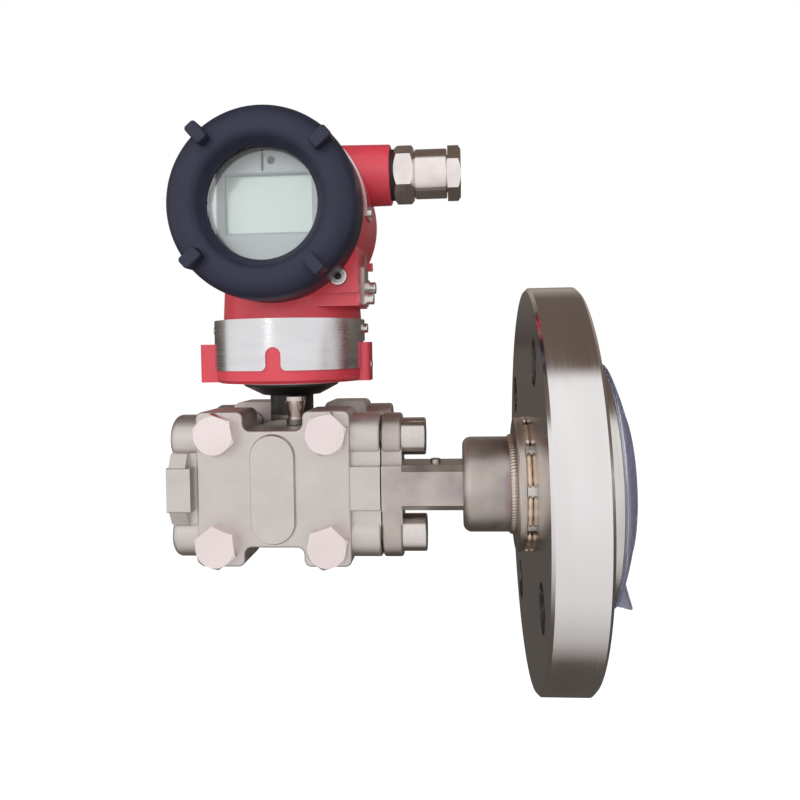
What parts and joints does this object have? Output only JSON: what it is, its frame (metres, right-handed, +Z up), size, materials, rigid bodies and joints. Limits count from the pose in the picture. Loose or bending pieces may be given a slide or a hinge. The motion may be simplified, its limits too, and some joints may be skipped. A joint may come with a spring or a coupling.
{
  "type": "differential pressure transmitter",
  "caption": "Differential pressure transmitter: round display head on a bolted measuring body, with a welded bar to a flange-mounted diaphragm seal under a blue protective cap.",
  "frame": {"origin": "centre of the process flange's inner face, on the seal's axis", "axes": "+X along the seal's axis to the process, +Z up, +Y away from the display"},
  "size_m": [0.2008, 0.165, 0.2409],
  "materials": {
    "flange_steel": "turned",
    "seal_steel": "turned",
    "blasted_steel": "bead blasted",
    "hub_steel": "turned",
    "weld": "as welded",
    "bright_steel": "polished",
    "bolt_steel": "satin",
    "capsule_steel": "turned",
    "band_steel": "brushed",
    "nickel": "nickel plated",
    "red_paint": "powder coated",
    "dark_paint": "powder coated",
    "black_paint": "satin",
    "black_rubber": "matt",
    "white_seal": "matt",
    "graphite": "matt",
    "glass": "clear",
    "black_anodised": "anodised",
    "grey_plastic": "satin",
    "screen": "gloss",
    "board": "lacquered",
    "brass": "satin",
    "black_plastic": "matt",
    "blue_cap": "translucent"
  },
  "bodies": {
    "sensor": {"process_flange": "flange_steel", "seal_body": "seal_steel", "diaphragm": "seal_steel", "seal_disc": "seal_steel", "tack_welds": "weld", "process_adapter": "hub_steel", "hub_weld_bead": "weld", "fill_port_plug": "bright_steel", "adapter_gasket": "graphite", "adapter_screws": "bright_steel", "front_process_flange": "blasted_steel", "rear_process_flange": "blasted_steel", "flange_bolts": "bolt_steel", "flange_nuts": "bolt_steel", "port_plugs": "capsule_steel", "capsule": "capsule_steel", "isolating_diaphragms": "seal_steel", "capsule_seals": "white_seal", "sensor_cell": "capsule_steel", "fill_stem": "bright_steel", "neck_adapter": "black_paint", "sensor_board": "board"},
    "head": {"electronics_housing": "red_paint", "collar_band": "band_steel", "band_screws": "bright_steel", "collar_set_screws": "bright_steel", "collar_seal": "white_seal", "nameplate_strap": "band_steel", "nameplate_screws": "bright_steel", "earth_bracket": "band_steel", "earth_screws": "bright_steel", "display_bezel": "grey_plastic", "lcd_panel": "screen", "display_board": "board", "main_board": "board", "board_standoffs": "brass", "terminal_block": "black_plastic", "terminal_screws": "brass", "gland_gasket": "black_rubber", "gland_body": "nickel", "gland_insert": "black_rubber", "blanking_plug": "nickel"},
    "front_seal": {"front_cover_o_ring": "black_rubber"},
    "front_cover_body": {"front_cover": "dark_paint", "window_glass": "glass", "glass_ring": "black_anodised"},
    "rear_seal": {"rear_cover_o_ring": "black_rubber"},
    "rear_cover_body": {"rear_cover": "dark_paint"},
    "gland_thrust": {"gland_ring": "black_plastic"},
    "gland_nut_body": {"gland_nut": "nickel"},
    "zero_screw": {"zero_adjust_screw": "bright_steel"},
    "cap": {"protective_cap": "blue_cap"}
  },
  "joints": [
    {"name": "head_turn", "type": "hinge", "parent": "sensor", "child": "head", "pos_m": [-0.1264, 0.02725, 0.058], "axis": [0, 0, 1], "range_deg": [-180, 180]},
    {"name": "front_cover_travel", "type": "slide", "parent": "head", "child": "front_seal", "axis": [0, -1, 0], "range_m": [0, 0.0102]},
    {"name": "front_cover_turn", "type": "hinge", "parent": "front_seal", "child": "front_cover_body", "pos_m": [-0.1264, -0.01, 0.118], "axis": [0, -1, 0], "range_deg": [0, 1800]},
    {"name": "rear_cover_travel", "type": "slide", "parent": "head", "child": "rear_seal", "axis": [0, 1, 0], "range_m": [0, 0.0102]},
    {"name": "rear_cover_turn", "type": "hinge", "parent": "rear_seal", "child": "rear_cover_body", "pos_m": [-0.1264, 0.055, 0.118], "axis": [0, 1, 0], "range_deg": [0, 1800]},
    {"name": "gland_travel", "type": "slide", "parent": "head", "child": "gland_thrust", "axis": [1, 0, 0], "range_m": [0, 0.0046]},
    {"name": "gland_nut_turn", "type": "hinge", "parent": "gland_thrust", "child": "gland_nut_body", "pos_m": [-0.052, 0.032, 0.1397], "axis": [1, 0, 0], "range_deg": [0, 1080]},
    {"name": "zero_adjust", "type": "hinge", "parent": "head", "child": "zero_screw", "pos_m": [-0.0984, -0.001, 0.0893], "axis": [0, -1, 0], "continuous": true},
    {"name": "cap_pull", "type": "slide", "parent": "sensor", "child": "cap", "axis": [1, 0, 0], "range_m": [0, 0.04]}
  ],
  "couplings": [
    {"joint": "front_cover_travel", "follows": "front_cover_turn", "m_per_rad": 0.00031831},
    {"joint": "rear_cover_travel", "follows": "rear_cover_turn", "m_per_rad": 0.00031831},
    {"joint": "gland_travel", "follows": "gland_nut_turn", "m_per_rad": 0.00023873}
  ]
}
